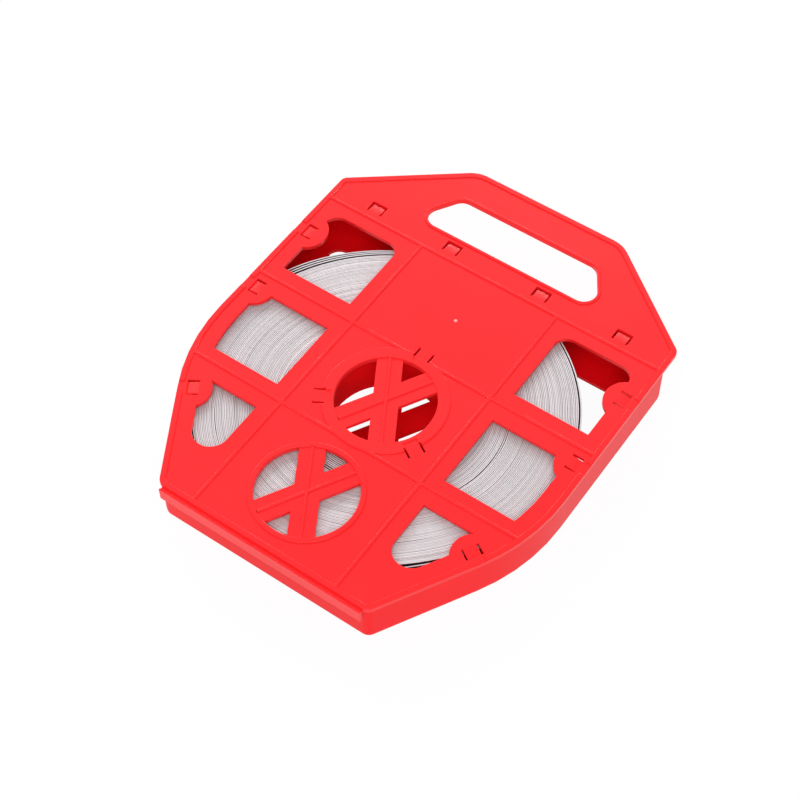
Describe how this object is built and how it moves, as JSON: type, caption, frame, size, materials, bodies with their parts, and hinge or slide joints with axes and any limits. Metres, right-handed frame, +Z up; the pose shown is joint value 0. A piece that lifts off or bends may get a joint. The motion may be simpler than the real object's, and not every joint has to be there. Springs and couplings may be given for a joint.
{
  "type": "stainless steel strapping coil in dispenser case",
  "caption": "Flat coil of stainless steel band in a two-part moulded carry case with windows, crossed-spoke hub, snap tabs and a handle slot.",
  "frame": {"origin": "on the axis of the hub, at the underside of the case", "axes": "+Y towards the handle, +Z up through the cover, +X to the right seen from above with the handle away"},
  "size_m": [0.1992, 0.2464, 0.0279],
  "materials": {
    "case_base": "semi-gloss moulded red plastic",
    "case_cover": "satin moulded red plastic",
    "steel_band": "slit edges of bright stainless band"
  },
  "bodies": {
    "case": {"case_base": "case_base", "case_cover": "case_cover"},
    "coil": {"strapping_coil": "steel_band"}
  },
  "joints": [
    {"name": "coil_spin", "type": "hinge", "parent": "case", "child": "coil", "pos_m": [0, 0, 0.014], "axis": [0, 0, 1], "continuous": true}
  ]
}
